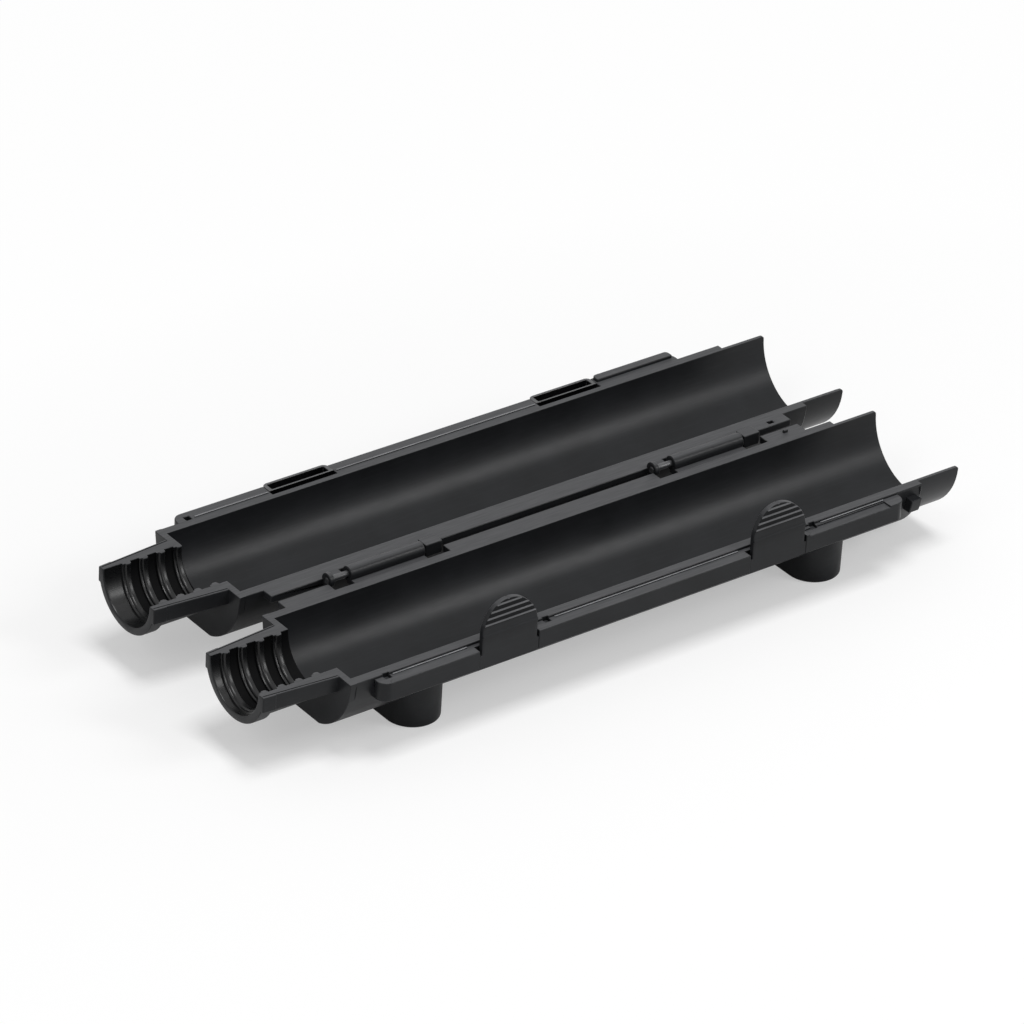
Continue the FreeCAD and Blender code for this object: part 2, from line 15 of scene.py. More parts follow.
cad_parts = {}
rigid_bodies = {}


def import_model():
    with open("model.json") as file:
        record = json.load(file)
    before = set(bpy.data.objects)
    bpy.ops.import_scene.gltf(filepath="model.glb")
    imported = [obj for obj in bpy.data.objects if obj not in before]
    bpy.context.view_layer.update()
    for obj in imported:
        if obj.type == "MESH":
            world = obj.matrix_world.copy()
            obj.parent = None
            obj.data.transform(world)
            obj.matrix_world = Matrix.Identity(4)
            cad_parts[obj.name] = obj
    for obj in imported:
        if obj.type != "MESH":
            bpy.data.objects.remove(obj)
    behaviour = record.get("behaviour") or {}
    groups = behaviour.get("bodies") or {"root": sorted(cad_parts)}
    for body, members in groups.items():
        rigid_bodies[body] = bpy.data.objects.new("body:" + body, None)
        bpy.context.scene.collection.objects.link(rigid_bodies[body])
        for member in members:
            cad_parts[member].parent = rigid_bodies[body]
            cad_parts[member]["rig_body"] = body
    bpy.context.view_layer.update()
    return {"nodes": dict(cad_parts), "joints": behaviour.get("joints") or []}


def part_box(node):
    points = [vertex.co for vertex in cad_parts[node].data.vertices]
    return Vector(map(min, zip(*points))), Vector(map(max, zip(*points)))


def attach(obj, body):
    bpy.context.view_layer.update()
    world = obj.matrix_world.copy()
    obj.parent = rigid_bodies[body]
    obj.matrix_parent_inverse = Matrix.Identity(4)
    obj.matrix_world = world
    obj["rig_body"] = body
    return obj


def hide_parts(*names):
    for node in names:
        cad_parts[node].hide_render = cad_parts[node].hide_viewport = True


bl_info = {
    "name": "Rice Mould",
    "version": (1, 0, 0),
    "blender": (4, 5, 0),
    "location": "View3D > Sidebar > Rice Mould",
    "description": "Builds the visible pieces of a hinged rice mould around its packed frame",
    "category": "Object",
}

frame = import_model()

MM = 0.001
TURN = 2*math.pi
SIDES = {"front": -1, "back": 1}
ENDS = ("left", "right")
SATIN, GLOSS, PIN = "satin_black_plastic", "gloss_black_plastic", "pin_plastic"

HINGE = next(joint for joint in frame["joints"] if joint["name"] == "mould_hinge")
HINGE_Y, HINGE_Z = HINGE["pos_m"][1], HINGE["pos_m"][2]
NECK_LOW, NECK_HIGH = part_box("front_neck")
MOUTH_X, PLATE_END = NECK_LOW.x, NECK_HIGH.x
RIM_Z = NECK_HIGH.z
BARREL_RADIUS = (NECK_HIGH.y - NECK_LOW.y)/2
AXIS_OFFSET = HINGE_Y - (NECK_HIGH.y + NECK_LOW.y)/2
KEEL_DEPTH = RIM_Z - NECK_LOW.z


# ------ settings

def length(name, description, millimetres):
    """A length that a user can change, given in millimetres and kept in metres."""
    return bpy.props.FloatProperty(name=name, description=description, default=millimetres*MM, min=0,
                                   precision=5, unit="LENGTH", subtype="DISTANCE")


def factor(name, description, value):
    """A share between 0 and 1 that a user can change."""
    return bpy.props.FloatProperty(name=name, description=description, default=value, min=0, max=1,
                                   subtype="FACTOR")


def colour(name, description, value):
    """A linear colour that a user can change."""
    return bpy.props.FloatVectorProperty(name=name, description=description, default=value, size=4, min=0,
                                         max=1, subtype="COLOR")


def angle(name, description, degrees):
    """An angle that a user can change, given in degrees and kept in radians."""
    return bpy.props.FloatProperty(name=name, description=description, default=math.radians(degrees),
                                   unit="ROTATION", subtype="ANGLE")


def power(name, description, watts):
    """A lamp's power that a user can change."""
    return bpy.props.FloatProperty(name=name, description=description, default=watts, min=0, unit="POWER")


class MouldShapeSettings(bpy.types.PropertyGroup):
    """Sizes of the forms that the looks add to the frame."""
    edge_radius: length("Edge radius", "Rounding of the moulded edges of the troughs", 0.25)
    small_edge: length("Small edge", "Rounding of the edges of the catches", 0.16)
    tab_edge: length("Tab edge", "Rounding of the edges of the tabs", 0.3)
    edge_angle: angle("Edge angle", "Edges sharper than this are rounded", 32)
    bead_width: length("Bead width", "Width of the thin beads along the outer rims", 0.6)
    neck_bore: length("Neck bore", "Root radius of the thread", 13.1)
    neck_wall: length("Neck wall", "Wall outside the root of the thread", 1.6)
    collar_rise: length("Collar rise", "Collar above the neck behind it", 1.0)
    collar_length: length("Collar length", "Length of the collar at the mouth", 4.5)
    wall_step: length("Wall step", "Side wall behind the collar, set in from it", 0.25)
    rim_groove: length("Rim groove", "Depth of the fine groove along the rim of a neck", 0.25)
    groove_inset: length("Groove inset", "Outer edge of the rim to that groove", 1.05)
    rim_land: length("Rim land", "Flat strip of the rim outside the root of the thread", 0.08)
    thread_depth: length("Thread depth", "Root of the thread to its crest", 1.4)
    tread_height: length("Tread height", "Low tread in front of each crest, above the root", 0.75)
    tread_width: length("Tread width", "Width of that tread", 1.0)
    crest_width: length("Crest width", "Width of one thread crest with its tread", 3.2)
    thread_pitch: length("Thread pitch", "Pitch of the thread", 6.5)
    thread_start: length("Thread start", "Mouth to the first crest at the hinge side", 5.3)
    fin_depth: length("Side wall depth", "Depth of the straight walls beside a neck", 5.5)
    fin_flare: length("Side wall flare", "How far those walls spread from mouth to shoulder", 2.6)
    shoulder_wall: length("Shoulder wall", "Thickness of the shoulder plate", 2.4)
    neck_edge: length("Neck edge", "Rounding of the edges of a neck", 0.35)
    foot_edge: length("Foot edge", "Rounding of the lower edge of a foot", 0.7)
    tab_thickness: length("Tab thickness", "Thickness of a spring tab", 1.8)
    hook_height: length("Hook height", "Hook above the outer face of a tab", 0.7)
    hook_bottom: length("Hook bottom", "Underside of the hook above the rim", 3.3)
    hook_rise: length("Hook rise", "Height of the hook", 1.5)
    hook_swell: length("Hook swell", "How far the soft hook stands out of the tab", 0.4)
    root_radius: length("Root radius", "Rounded root of a tab", 1.3)
    slit_depth: length("Slit depth", "Rim to the foot of the slits beside a tab", 3.0)
    slit_fill: length("Slit fill", "How far the foot of a tab spreads into its slits", 0.7)
    rib_start: length("Rib start", "First grip rib above the rim", 7.6)
    rib_pitch: length("Rib pitch", "Spacing of the grip ribs", 1.85)
    rib_width: length("Rib width", "Width of a grip rib", 0.6)
    rib_height: length("Rib height", "Height of a grip rib", 0.3)
    catch_bar: length("Catch bar", "Outer bar of a catch", 0.9)
    catch_wall: length("Catch wall", "Inner wall of a catch", 0.6)
    catch_cheek: length("Catch cheek", "End walls of a catch", 1.6)
    catch_corner: length("Catch corner", "Rounding of the outer corners of a catch", 2.0)


class MouldFinishSettings(bpy.types.PropertyGroup):
    """Colours and gloss of the three plastics."""
    body_colour: colour("Body", "Satin black plastic of the two halves", (0.0110, 0.0116, 0.0128, 1))
    gloss_colour: colour("Catches", "Glossy black plastic of the catches", (0.0022, 0.0022, 0.0026, 1))
    pin_colour: colour("Pins", "Smooth plastic of the hinge pins", (0.030, 0.031, 0.033, 1))
    # painted light: a paler tone painted on the rims that look up, and the base of the painted highlights on
    # the beads and the grip ribs
    painted_light_colour: colour("Painted_light", "Greyer tone of the light_painted rims", (0.078, 0.079, 0.083, 1))
    body_gloss: factor("Body gloss", "Specular level of the satin plastic", 0.16)
    body_roughness: factor("Body roughness", "Roughness of the satin plastic", 0.33)
    gloss_roughness: factor("Catch roughness", "Roughness of the glossy plastic", 0.16)
    pin_roughness: factor("Pin roughness", "Roughness of the pins", 0.28)
    grain_size: length("Grain size", "Size of the grain of the moulded surface", 0.35)
    grain_depth: length("Grain depth", "Depth of that grain", 0.006)


class MouldStageSettings(bpy.types.PropertyGroup):
    """The camera, the lamps and the pale floor."""
    azimuth: angle("Azimuth", "Camera round the object, from the -Y side", -38.60)
    elevation: angle("Elevation", "Camera above the floor", 30.95)
    roll: angle("Roll", "Camera turned about its line of sight", 3.50)
    distance: length("Distance", "Camera to the aim point", 1941)
    aim_x: length("Aim along X", "Mouths of the necks to the aim point", 131.6)
    aim_y: length("Aim across", "Hinge line to the aim point", 2.9)
    lens: bpy.props.FloatProperty(name="Lens", description="Focal length in millimetres", default=211.05,
                                  min=1, subtype="DISTANCE_CAMERA")
    floor_colour: colour("Floor", "Colour of the floor and the backdrop", (0.96, 0.96, 0.96, 1))
    floor_lift: factor("Floor lift", "Share of plain white in what the camera sees of the floor", 0.42)
    far_lift: factor("Far lift", "The same share well away from the object", 0.92)
    world_light: bpy.props.FloatProperty(name="World light", default=0.30, min=0,
                                         description="Strength of the light from all sides")
    key_power: power("Key lamp", "Power of the lamp at the front right", 4.0)
    side_power: power("Side lamp", "Power of the lamp beyond the neck end", 2.5)
    top_power: power("Top lamp", "Power of the large lamp overhead", 86)


def shape():
    """The shape settings of this scene."""
    return bpy.context.scene.mould_shape


def finish():
    """The finish settings of this scene."""
    return bpy.context.scene.mould_finish


def stage():
    """The stage settings of this scene."""
    return bpy.context.scene.mould_stage


# ------ surfaces

DOUBLE_GAP = 1e-6  # corners of a new surface closer than this are one
CAD_DOUBLE_GAP = 2e-6  # the same for the triangles of a CAD node
LEVEL_GAP = 0.02*MM  # a corner this close to a plane lies on it


def grid_faces(rows, columns, ring_rows=False):
    """Quads of a grid of rows by columns, whose rows are closed rings: each joins a point, the next one in
    its row, and the same two of the next row. With ring_rows, the last row joins the first one too."""
    i = np.arange(rows if ring_rows else rows - 1)[:, None]
    j = np.arange(columns)[None, :]
    next_i, next_j = (i + 1) % rows, (j + 1) % columns
    corners = [i*columns + j, i*columns + next_j, next_i*columns + next_j, next_i*columns + j]
    return np.stack(corners, axis=-1).reshape(-1, 4)


def capped(rows, columns):
    """Faces of a tube whose rows are closed rings, with one flat face on each end."""
    first = list(range(columns))
    last = [(rows - 1)*columns + j for j in range(columns)]
    return grid_faces(rows, columns).tolist() + [first[::-1], last]


def make_mesh(name, shells, material, smooth_degrees=35):
    """One mesh from several closed shells, each given as points and faces. Doubles are merged, and the faces
    are turned to point outwards."""
    work = bmesh.new()
    for points, faces in shells:
        corners = [work.verts.new(point) for point in np.asarray(points).reshape(-1, 3).tolist()]
        for face in faces:
            work.faces.new([corners[index] for index in face])
    bmesh.ops.remove_doubles(work, verts=work.verts, dist=DOUBLE_GAP)
    bmesh.ops.recalc_face_normals(work, faces=work.faces)
    mesh = bpy.data.meshes.new(name)
    work.to_mesh(mesh)
    work.free()
    mesh.materials.append(material)
    mesh.shade_smooth()
    mesh.set_sharp_from_angle(angle=math.radians(smooth_degrees))
    return mesh


def add_object(name, data):
    """A new object in the scene."""
    item = bpy.data.objects.new(name, data)
    bpy.context.collection.objects.link(item)
    return item


def place(name, mesh, node):
    """Adds a piece that stands for a CAD node and rides on that node's body, and hides the CAD node."""
    piece = add_object(name, mesh)
    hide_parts(node)
    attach(piece, frame["nodes"][node]["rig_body"])
    return piece


def round_off(piece, radius, limit="ANGLE"):
    """A bevel on every edge sharper than the edge angle, or on the edges that carry a bevel weight."""
    bevel = piece.modifiers.new("Rounded edges", "BEVEL")
    bevel.width = radius
    bevel.segments = 2
    bevel.limit_method = limit
    bevel.angle_limit = shape().edge_angle
    bevel.use_clamp_overlap = False
    bevel.miter_outer = "MITER_SHARP"
    piece.modifiers.new("Even shading", "WEIGHTED_NORMAL").keep_sharp = True


def face_centres(mesh):
    """The x, the y and the z of the middle of each face."""
    centre = np.empty(len(mesh.polygons)*3)
    mesh.polygons.foreach_get("center", centre)
    return centre.reshape(-1, 3).T


def dress_faces(mesh, slots):
    """Gives each face the material with that number."""
    mesh.polygons.foreach_set("material_index", slots.astype(np.int32))


def full_turn(count):
    """Evenly spaced angles of a whole turn, without the last, which is the first again."""
    return np.linspace(0, TURN, count, endpoint=False)


def quarter(count):
    """Angles of a quarter turn, from 0 to a right angle."""
    return np.linspace(0, math.pi/2, count)


def smooth_step(value):
    """A smooth rise from 0 to 1 while the value goes from 0 to 1: three times its square less twice its
    cube."""
    share = np.clip(value, 0, 1)
    return share*share*(3 - 2*share)


def mound(off, low, high):
    """A rounded mound of height 1 between two offsets: the square root of one minus the fourth power of
    the distance from its middle, as a share of its half width."""
    return np.sqrt(np.clip(1 - ((2*off - low - high)/(high - low))**4, 0, 1))


# ------ materials

PATCHES, STREAKS, RUBS = 55, 1700, 480  # tone patches, flow lines and rub marks to the metre
DARK_PATCH, PALE_PATCH, PALE_LINE = 0.8, 1.25, 2.2  # their tones, against that of the plastic
RUB, SCUFF = 0.03, 0.10  # how much rub marks change the roughness, and how much rougher the rims with painted light get
RIM_START, RIM_FULL = 2.5*MM, 1.2*MM  # below the rims: where the painted light on them starts and where it is full


def node(tree, kind, links=None, **settings):
    """A shader node with its settings, and its inputs linked to sockets or set to values."""
    item = tree.nodes.new("ShaderNode" + kind)
    for key, value in settings.items():
        setattr(item, key, value)
    for key, value in (links or {}).items():
        if isinstance(value, bpy.types.NodeSocket):
            tree.links.new(value, item.inputs[key])
        else:
            item.inputs[key].default_value = value
    return item


def calculate(tree, operation, *values, clamp=False):
    """The result of a calculation with numbers or sockets, kept between 0 and 1 where clamp is set."""
    links = dict(enumerate(values))
    return node(tree, "Math", links, operation=operation, use_clamp=clamp).outputs["Value"]


def object_space(tree, stretch=(1, 1, 1)):
    """The piece's own coordinates, stretched along the axes."""
    own = node(tree, "TexCoord").outputs["Object"]
    return node(tree, "Mapping", {"Vector": own, "Scale": stretch}).outputs["Vector"]


def noise(tree, vector, scale, detail=3.0, rough=0.55):
    """A noise value on those coordinates, with `scale` bumps to the metre."""
    links = {"Vector": vector, "Scale": scale, "Detail": detail, "Roughness": rough}
    return node(tree, "TexNoise", links).outputs["Fac"]


def spread(tree, value, low, high, start=0.3, end=0.7):
    """A value that goes from a low to a high number while the given one goes from start to end."""
    links = {"Value": value, "From Min": start, "From Max": end, "To Min": low, "To Max": high}
    return node(tree, "MapRange", links).outputs["Result"]


def blend(tree, share, low, high):
    """A colour between two, by a share."""
    return node(tree, "MixRGB", {"Fac": share, "Color1": low, "Color2": high}).outputs["Color"]


def tinted(base, strength):
    """A colour made darker or lighter."""
    return [min(1, part*strength) for part in base[:3]] + [1]


def new_material(name):
    """A material, its nodes and its main shader."""
    material = bpy.data.materials.new(name)
    material.use_nodes = True
    return material, material.node_tree, material.node_tree.nodes["Principled BSDF"]


def lit_rim_mask(tree, own):
    """One on the faces that look up at the height of the rims, and zero elsewhere: where the rims get
    painted light.
    """
    up = node(tree, "SeparateXYZ", {"Vector": node(tree, "TexCoord").outputs["Normal"]}).outputs["Z"]
    height = node(tree, "SeparateXYZ", {"Vector": own}).outputs["Z"]
    facing = spread(tree, up, 0, 1, 0.75, 0.97)
    level = spread(tree, height, 0, 1, RIM_Z - RIM_START, RIM_Z - RIM_FULL)
    return calculate(tree, "MULTIPLY", facing, level)


def moulded_plastic(name, base, roughness, gloss, grain_share=1.0, flow=(0.05, 1, 1)):
    """Injection-moulded plastic, made once for each name: a fine grain, faint flow lines along the part,
    patches that differ a little in tone, rub marks that differ in gloss, and painted light on the rims: the
    faces that look up there are painted a paler, greyer tone, broken by the flow lines, and made a little
    rougher."""
    if name in bpy.data.materials:
        return bpy.data.materials[name]
    look = finish()
    material, tree, shader = new_material(name)
    shader.inputs["Specular IOR Level"].default_value = gloss
    own = object_space(tree)
    patches = noise(tree, own, PATCHES, detail=4)
    streaks = noise(tree, object_space(tree, flow), STREAKS, detail=4, rough=0.62)
    rubs = noise(tree, object_space(tree, (0.35, 1, 1)), RUBS, detail=6, rough=0.7)
    grain = noise(tree, own, 1/look.grain_size, detail=2, rough=0.5)
    rims = lit_rim_mask(tree, own)

    tone = blend(tree, spread(tree, patches, 0, 1), tinted(base, DARK_PATCH), tinted(base, PALE_PATCH))
    lined = blend(tree, spread(tree, streaks, 0, 0.25, 0.50, 0.78), tone, tinted(base, PALE_LINE))
    # painted light: the faces that look up at rim height are painted paler, broken by the flow lines
    painted_rim_light = calculate(tree, "MULTIPLY", rims, spread(tree, streaks, 0.55, 1.0))
    tree.links.new(blend(tree, painted_rim_light, lined, look.painted_light_colour), shader.inputs["Base Color"])

    rubbed = calculate(tree, "ADD", spread(tree, rubs, RUB, -RUB), roughness)
    level = calculate(tree, "MULTIPLY_ADD", rims, SCUFF, rubbed, clamp=True)
    tree.links.new(level, shader.inputs["Roughness"])

    depth = look.grain_depth*grain_share
    lines = node(tree, "Bump", {"Height": streaks, "Distance": depth, "Strength": 0.3})
    bump = node(tree, "Bump", {"Height": grain, "Distance": depth, "Strength": 0.6,
                               "Normal": lines.outputs["Normal"]})
    tree.links.new(bump.outputs["Normal"], shader.inputs["Normal"])
    return material


def plastic(slot):
    """The material of one finish slot."""
    look = finish()
    recipe = {
        SATIN: (look.body_colour, look.body_roughness, look.body_gloss, 1.0),
        GLOSS: (look.gloss_colour, look.gloss_roughness, 0.45, 0.2),
        PIN: (look.pin_colour, look.pin_roughness, 0.5, 0.4),
    }[slot]
    return moulded_plastic(slot + "_look", *recipe)


def bore_plastic(kind):
    """The inside of the necks: a darker, glossier tone on the crests of the thread and in the mouth, and
    painted shade in its roots, a much darker, rough and barely shiny tone. Its fine lines run round the
    bore."""
    # painted shade in the roots: a much darker tone with little gloss
    tone, roughness, gloss = {"polished": (0.30, 0.28, 0.32), "dull": (0.15, 0.6, 0.05)}[kind]
    return moulded_plastic(kind + "_bore_look", tinted(finish().body_colour, tone), roughness, gloss,
                           grain_share=0.02, flow=(1, 0.06, 0.06))


def painted_light_plastic(kind):
    """Painted light on small raised places: a painted highlight, a much paler tone, on the tops of the beads
    along the rims and on the grip ribs of a tab, and painted shade, a darker, barely shiny tone, in the
    hollows between those ribs."""
    look = finish()
    # painted highlight on the beads and the rib tops, painted shade in the hollows between the ribs
    base, gloss = {"bead": (tinted(look.painted_light_colour, 4.0), 0.4),
                   "worn": (tinted(look.painted_light_colour, 1.0), 0.3),
                   "hollow": (tinted(look.body_colour, 0.6), 0.08)}[kind]
    return moulded_plastic(kind + "_grip_look", base, roughness=0.36, gloss=gloss, grain_share=0.5)


# ------ troughs

ROUND_SHARE = 0.4  # how much of a narrow face the rounding of its edge may take
BEAD_OFF = (0.2*MM, 0.6*MM)  # how far a bead's top lies off the level of the rims


class RICEMOULD_OT_troughs(bpy.types.Operator):
    """Soft-edged copies of the two half troughs"""
    bl_idname = "rice_mould.troughs"
    bl_label = "Troughs"

    def execute(self, context):
        for side in SIDES:
            node_name = f"{side}_barrel"
            trough = place(f"{side}_trough", merged_copy(node_name), node_name)
            round_off(trough, shape().edge_radius, "WEIGHT")
        return {"FINISHED"}


def merged_copy(node_name):
    """A copy of a CAD node's mesh with its corners merged and its flat faces made whole, and without the
    flat normals that came with the triangles."""
    work = bmesh.new()
    work.from_mesh(frame["nodes"][node_name].data)
    bmesh.ops.remove_doubles(work, verts=work.verts, dist=CAD_DOUBLE_GAP)
    bmesh.ops.dissolve_limit(work, angle_limit=math.radians(1), verts=work.verts, edges=work.edges)
    weigh_edges(work)
    mesh = bpy.data.meshes.new(node_name + "_soft")
    work.to_mesh(mesh)
    work.free()
    flat_normals = mesh.attributes.get("custom_normal")
    if flat_normals:
        mesh.attributes.remove(flat_normals)
    mesh.materials.append(plastic(SATIN))
    # painted highlight: the bead tops get a much paler material
    mesh.materials.append(painted_light_plastic("bead"))
    paint_bead_highlights(mesh)
    mesh.shade_smooth()
    mesh.set_sharp_from_angle(angle=shape().edge_angle)
    crease_keel(mesh)
    return mesh


def weigh_edges(work):
    """Marks the outward edges that are rounded, apart from those against a shoulder plate: in full, or by
    a smaller share beside a narrow face, where a full rounding would meet its neighbour."""
    s = shape()
    weights = work.edges.layers.float.new("bevel_weight_edge")
    for edge in work.edges:
        at_plate = all(abs(vertex.co.x - PLATE_END) < LEVEL_GAP for vertex in edge.verts)
        outward = len(edge.link_faces) == 2 and edge.is_convex and edge.calc_face_angle() > s.edge_angle
        if outward and not at_plate:
            room = min(opposite_gap(edge, face) for face in edge.link_faces)
            edge[weights] = min(1, ROUND_SHARE*room/s.edge_radius)


def opposite_gap(edge, face):
    """How far a face reaches inwards from one of its straight edges."""
    start, end = (vertex.co for vertex in edge.verts)
    along = (end - start).normalized()
    inward = face.normal.cross(along)
    offsets = [inward.dot(vertex.co - start) for vertex in face.verts]
    return max(max(offsets), -min(offsets))


def paint_bead_highlights(mesh):
    """Paints a highlight on the tops of the thin beads along the outer rims: they get a much paler material.
    A bead's top is a face that looks up, is as wide as a bead, and lies a little off the level of the rims."""
    bead_width = shape().bead_width
    for polygon in mesh.polygons:
        reach = [mesh.vertices[index].co.y for index in polygon.vertices]
        narrow = 0.5*bead_width < max(reach) - min(reach) < 1.1*bead_width
        off_rim = BEAD_OFF[0] < abs(polygon.center.z - RIM_Z) < BEAD_OFF[1]
        if narrow and off_rim and polygon.normal.z > 0.9:
            polygon.material_index = 1


def crease_keel(mesh):
    """Keeps the two lines crisp where the flat underside meets the round jacket."""
    points = np.empty(len(mesh.vertices)*3)
    mesh.vertices.foreach_get("co", points)
    on_keel = np.abs(points[2::3] - RIM_Z + KEEL_DEPTH) < LEVEL_GAP
    ends = np.empty(len(mesh.edges)*2, dtype=np.int32)
    mesh.edges.foreach_get("vertices", ends)
    crisp = mesh.attributes["sharp_edge"].data
    kept = np.empty(len(crisp), dtype=bool)
    crisp.foreach_get("value", kept)
    crisp.foreach_set("value", kept | on_keel[ends].reshape(-1, 2).all(axis=1))


# ------ necks

CRESTS = 4  # crests of the thread along a neck
STATION_STEP = 0.15*MM  # even spacing of the sections along a neck
TUBE_POINTS, BORE_POINTS = 49, 97  # points round the tube and round the bore
GROOVE_PLACES = np.array([0.6, 0.3, -0.3, -0.6])  # corners of the rim's groove, in roundings of the edge
GROOVE_DEPTHS = np.array([0, 1, 1, 0])  # and in depths of the groove
BORE_CORNER = 0.6  # rounding of the bore's rim, as a share of the others
CREST_START = 0.8  # where a crest rises from its tread, as a share of the tread's width
POLISHED = 0.25  # share of the thread's depth above which it is polished, and below which its roots get painted shade
ROOT_MARGIN, RIM_MARGIN, MOUTH_MARGIN = 0.05*MM, 0.3*MM, 0.1*MM  # round the faces that count as bore


def across_axis(side, h, z):
    """Row-frame y and z of a point h from a trough's axis towards the outer rim, and z above the rim."""
    return HINGE_Y + side*(AXIS_OFFSET + h), RIM_Z + z


def stations(low, high, clear):
    """Stations along a run: closer over its rounded first edge, and even from a clear distance on."""
    turning = low + shape().neck_edge*(1 - np.cos(quarter(5)))
    return np.unique(np.hstack([turning, np.arange(low + clear, high, STATION_STEP), [high]]))


def inset_at(x, low):
    """How far a section draws in over the rounded first edge of its run: the radius of the edge less the
    height of its quarter circle."""
    radius = shape().neck_edge
    reach = np.clip(1 - (x - low)/radius, 0, 1)
    return radius*(1 - np.sqrt(1 - reach**2))


def neck_profile(x, inset):
    """Half of the outside of a neck at each station, from the middle of its rim out and down: the rim with a
    fine groove beside its outer edge, a straight side wall that spreads along x, and its underside up to the
    tube. Returns h and z, the radius of the tube, and the depth of the side wall."""
    s = shape()
    edge, turn = s.neck_edge, quarter(5)
    along = (x - MOUTH_X)/(PLATE_END - MOUTH_X)
    step = smooth_step((x - MOUTH_X - s.collar_length)/edge)
    tube = s.neck_bore + s.neck_wall + s.collar_rise*(1 - step) - inset
    wall = s.neck_bore + s.neck_wall + s.collar_rise + s.fin_flare*along - inset - s.wall_step*step
    depth = s.fin_depth - inset
    groove_h = (wall + s.wall_step*step)[:, None] - s.groove_inset - edge*GROOVE_PLACES
    groove = s.rim_groove*GROOVE_DEPTHS*smooth_step((x - MOUTH_X)/edge - 1)[:, None]
    groove_z = -inset[:, None] - groove
    rim_h = wall[:, None] - edge + edge*np.sin(turn)
    rim_z = -inset[:, None] - edge + edge*np.cos(turn)
    low_h = wall[:, None] - edge + edge*np.cos(turn)
    low_z = -depth[:, None] + edge - edge*np.sin(turn)
    under = np.linspace(0, 1, 4)[1:-1]
    meet = np.sqrt(tube**2 - depth**2)
    under_h = (wall - edge)[:, None]*(1 - under) + meet[:, None]*under
    under_z = np.broadcast_to(-depth[:, None], under_h.shape)
    return (np.hstack([groove_h, rim_h, low_h, under_h]), np.hstack([groove_z, rim_z, low_z, under_z]),
            tube, depth)


def neck_outline(x, inset):
    """The outside of a neck from the hinge side's rim round to the outer rim: the side, the arc of the tube,
    and the side again."""
    half_h, half_z, tube, depth = neck_profile(x, inset)
    start = np.arcsin(depth/tube)[:, None]
    sweep = start + (math.pi - 2*start)*np.linspace(0, 1, TUBE_POINTS)
    arc_h, arc_z = -tube[:, None]*np.cos(sweep), -tube[:, None]*np.sin(sweep)
    return np.hstack([-half_h, arc_h, half_h[:, ::-1]]), np.hstack([half_z, arc_z, half_z[:, ::-1]])


def plate_outline(x, inset):
    """The outside of the shoulder plate at the angles of the points of a neck at its first station: the
    smaller of the jacket's radius and the keel's depth over the sine of the angle. The points of the rim's
    groove stay where they are, level with the rim."""
    h, z = neck_outline(x[:1], np.zeros(1))
    rim = len(GROOVE_PLACES)
    turn = np.arctan2(-z, -h)
    turn[:, rim], turn[:, -rim - 1] = 0, math.pi
    reach = np.minimum(BARREL_RADIUS, KEEL_DEPTH/np.maximum(np.sin(turn), 1e-6)) - inset[:, None]
    plate_h, plate_z = -reach*np.cos(turn), -reach*np.sin(turn)
    plate_z = np.minimum(plate_z, -inset[:, None]*(np.abs(plate_h) > np.abs(h)))
    for part in (slice(0, rim), slice(-rim, None)):
        plate_h[:, part] = h[:, part]
        plate_z[:, part] = 0
    return plate_h, plate_z


def climb(turn, side):
    """How far along x the thread has come at an angle from the hinge side: a pitch for a whole turn, and
    backwards on the front half."""
    return side*shape().thread_pitch*turn/TURN


def thread_height(x, turn, side):
    """Height of the thread over its root at a station and an angle from the hinge side: the higher of a low
    tread and the crest behind it, both rounded, on lines that climb half a pitch from rim to rim."""
    s = shape()
    line = MOUTH_X + s.thread_start + climb(turn, side)
    number = np.clip(np.round((x - line)/s.thread_pitch), 0, CRESTS - 1)
    off = x - line - number*s.thread_pitch
    half = s.crest_width/2
    tread = s.tread_height*mound(off, -half, s.tread_width - half)
    crest = s.thread_depth*mound(off, CREST_START*s.tread_width - half, half)
    return np.maximum(tread, crest)


def along_thread(x, turn, side):
    """Stations carried along the thread: each moves with the climb of the crests, in full from the first
    crest to the last one, and by a share that falls evenly to nothing at the mouth and the plate's end."""
    s = shape()
    first = MOUTH_X + s.thread_start - s.crest_width/2
    last = first + (CRESTS - 1)*s.thread_pitch
    return x + climb(turn, side)*np.interp(x, [MOUTH_X, first, last, PLATE_END], [0, 1, 1, 0])


def bore_outline(x, inset, side):
    """The inside of a neck, from the outer rim back to the hinge side's rim: an arc whose radius is the root
    of the thread less the height of the thread there, with rounded corners at the rims, and a point of the
    rim just outside the root. Returns the station, h and z of each point."""
    s = shape()
    turn = np.linspace(math.pi, 0, BORE_POINTS)
    station = along_thread(x[:, None], turn, side)
    radius = s.neck_bore + inset[:, None] - thread_height(station, turn, side)
    corner = BORE_CORNER*s.neck_edge
    foot = -inset[:, None] - corner
    curve = quarter(4)
    away = corner*(1 - np.cos(curve))
    rise = np.append(corner*np.sin(curve), corner)
    land = (s.neck_bore + corner + s.rim_land + inset)[:, None]
    outer_h = np.hstack([land, radius[:, :1] + away[::-1]])
    inner_h = -np.hstack([radius[:, -1:] + away, land])
    h = np.hstack([outer_h, -radius*np.cos(turn), inner_h])
    z = np.hstack([foot + rise[::-1], np.minimum(-radius*np.sin(turn), foot), foot + rise])
    outer, inner = (np.repeat(station[:, end], len(rise), axis=1) for end in ([0], [-1]))
    return np.hstack([outer, station, inner]), h, z


